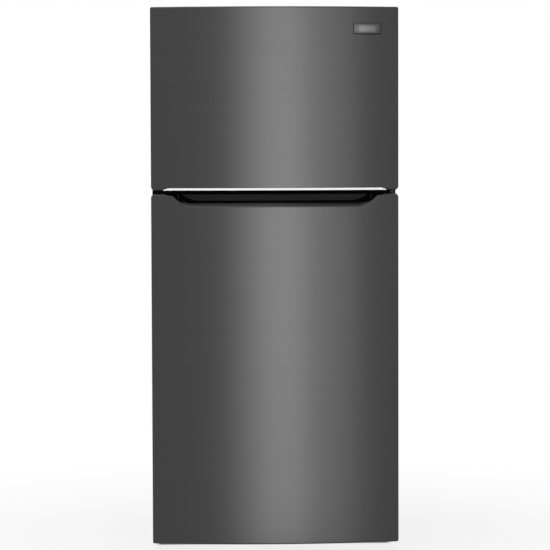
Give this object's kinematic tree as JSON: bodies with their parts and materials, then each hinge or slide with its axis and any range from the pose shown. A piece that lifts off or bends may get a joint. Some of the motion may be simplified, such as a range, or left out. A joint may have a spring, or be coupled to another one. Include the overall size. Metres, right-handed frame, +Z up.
{
  "type": "top freezer refrigerator",
  "caption": "Tall refrigerator with a freezer on top, two bowed brushed steel doors hinged on the right, a recessed handle pocket and a fitted interior.",
  "frame": {"origin": "on the floor, in the middle of the footprint", "axes": "+X to the right seen from the front, the doors face -Y, +Z up"},
  "size_m": [0.756, 0.81, 1.676],
  "materials": {
    "dark_steel": "satin",
    "side_paint": "matte",
    "bare_sheet": "satin",
    "black_plastic": "satin",
    "black_gloss": "gloss",
    "white_plastic": "satin",
    "clear_plastic": "gloss",
    "shelf_glass": "gloss",
    "gasket_rubber": "matte",
    "foam": "matte",
    "evaporator_aluminium": "satin",
    "black_metal": "satin",
    "hinge_steel": "satin",
    "screw_steel": "satin",
    "badge_metal": "satin",
    "grey_plastic": "satin",
    "light_lens": "satin"
  },
  "bodies": {
    "cabinet": {"cabinet_shell": "side_paint", "back_panel": "bare_sheet", "base_deck": "bare_sheet", "base_frame": "bare_sheet", "toe_grille": "black_plastic", "freezer_liner": "white_plastic", "food_liner": "white_plastic", "cabinet_insulation": "foam", "mullion_rail": "side_paint", "top_hinge": "hinge_steel", "top_hinge_cover": "black_plastic", "centre_hinge": "hinge_steel", "bottom_hinge": "hinge_steel", "hinge_screws": "screw_steel", "freezer_shelf": "white_plastic", "evaporator_cover": "white_plastic", "evaporator": "evaporator_aluminium", "defrost_heater": "evaporator_aluminium", "evaporator_fan_motor": "black_metal", "control_housing": "white_plastic", "food_light_lens": "light_lens", "upper_shelf_frame": "white_plastic", "lower_shelf_frame": "white_plastic", "crisper_cover_frame": "white_plastic", "shelf_glass": "shelf_glass", "compressor": "black_metal", "drain_pan": "black_plastic", "condenser": "black_metal", "condenser_fan_motor": "grey_plastic", "compressor_cover": "bare_sheet", "cord_gland": "black_plastic"},
    "freezer_door": {"freezer_door_skin": "dark_steel", "freezer_door_caps": "black_plastic", "freezer_door_insulation": "foam", "freezer_door_liner": "white_plastic", "freezer_door_bins": "clear_plastic", "freezer_door_gasket": "gasket_rubber", "freezer_grip": "white_plastic", "name_plate": "badge_metal"},
    "food_door": {"food_door_skin": "dark_steel", "food_door_caps": "black_plastic", "food_door_insulation": "foam", "food_door_liner": "white_plastic", "food_door_bins": "clear_plastic", "food_door_gasket": "gasket_rubber", "handle_pocket": "black_gloss"},
    "dairy_lid": {"dairy_lid": "clear_plastic"},
    "deli_drawer": {"deli_drawer": "clear_plastic"},
    "crisper_left": {"crisper_left": "clear_plastic"},
    "crisper_right": {"crisper_right": "clear_plastic"},
    "humidity_slider_left": {"humidity_slider_left": "grey_plastic"},
    "humidity_slider_right": {"humidity_slider_right": "grey_plastic"},
    "temperature_dial": {"temperature_dial": "grey_plastic"},
    "food_light_switch": {"food_light_switch": "grey_plastic"},
    "evaporator_fan": {"evaporator_fan": "grey_plastic"},
    "condenser_fan": {"condenser_fan": "grey_plastic"},
    "leg_left": {"leg_left": "black_plastic"},
    "leg_right": {"leg_right": "black_plastic"},
    "roller_left": {"roller_left": "black_plastic"},
    "roller_right": {"roller_right": "black_plastic"}
  },
  "joints": [
    {"name": "freezer_door_hinge", "type": "hinge", "parent": "cabinet", "child": "freezer_door", "pos_m": [0.36, -0.329, 1.395], "axis": [0, 0, 1], "range_deg": [0, 120]},
    {"name": "food_door_hinge", "type": "hinge", "parent": "cabinet", "child": "food_door", "pos_m": [0.36, -0.329, 0.569], "axis": [0, 0, 1], "range_deg": [0, 120]},
    {"name": "dairy_lid_hinge", "type": "hinge", "parent": "food_door", "child": "dairy_lid", "pos_m": [0, -0.295, 0.936], "axis": [1, 0, 0], "range_deg": [0, 80]},
    {"name": "deli_slide", "type": "slide", "parent": "cabinet", "child": "deli_drawer", "axis": [0, -1, 0], "range_m": [0, 0.1]},
    {"name": "crisper_left_slide", "type": "slide", "parent": "cabinet", "child": "crisper_left", "axis": [0, -1, 0], "range_m": [0, 0.05]},
    {"name": "crisper_right_slide", "type": "slide", "parent": "cabinet", "child": "crisper_right", "axis": [0, -1, 0], "range_m": [0, 0.05]},
    {"name": "humidity_left_slide", "type": "slide", "parent": "cabinet", "child": "humidity_slider_left", "axis": [1, 0, 0], "range_m": [-0.025, 0.025]},
    {"name": "humidity_right_slide", "type": "slide", "parent": "cabinet", "child": "humidity_slider_right", "axis": [1, 0, 0], "range_m": [-0.025, 0.025]},
    {"name": "temperature_dial_turn", "type": "hinge", "parent": "cabinet", "child": "temperature_dial", "pos_m": [-0.12, -0.185, 1.0525], "axis": [0, -1, 0], "range_deg": [-135, 135]},
    {"name": "light_switch_press", "type": "slide", "parent": "cabinet", "child": "food_light_switch", "axis": [0, -1, 0], "range_m": [0, 0.008]},
    {"name": "evaporator_fan_spin", "type": "hinge", "parent": "cabinet", "child": "evaporator_fan", "pos_m": [0, 0.305, 1.5035], "axis": [0, 1, 0], "continuous": true},
    {"name": "condenser_fan_spin", "type": "hinge", "parent": "cabinet", "child": "condenser_fan", "pos_m": [0.01, 0.304, 0.132], "axis": [1, 0, 0], "continuous": true},
    {"name": "leg_left_screw", "type": "hinge", "parent": "cabinet", "child": "leg_left", "pos_m": [-0.3547, -0.15, 0.02], "axis": [0, 0, 1], "continuous": true},
    {"name": "leg_right_screw", "type": "hinge", "parent": "cabinet", "child": "leg_right", "pos_m": [0.3547, -0.15, 0.02], "axis": [0, 0, 1], "continuous": true},
    {"name": "roller_left_spin", "type": "hinge", "parent": "cabinet", "child": "roller_left", "pos_m": [-0.3547, 0.345, 0.02], "axis": [1, 0, 0], "continuous": true},
    {"name": "roller_right_spin", "type": "hinge", "parent": "cabinet", "child": "roller_right", "pos_m": [0.3547, 0.345, 0.02], "axis": [1, 0, 0], "continuous": true}
  ],
  "couplings": [
    {"joint": "light_switch_press", "follows": "food_door_hinge", "m_per_rad": 0.0038}
  ]
}
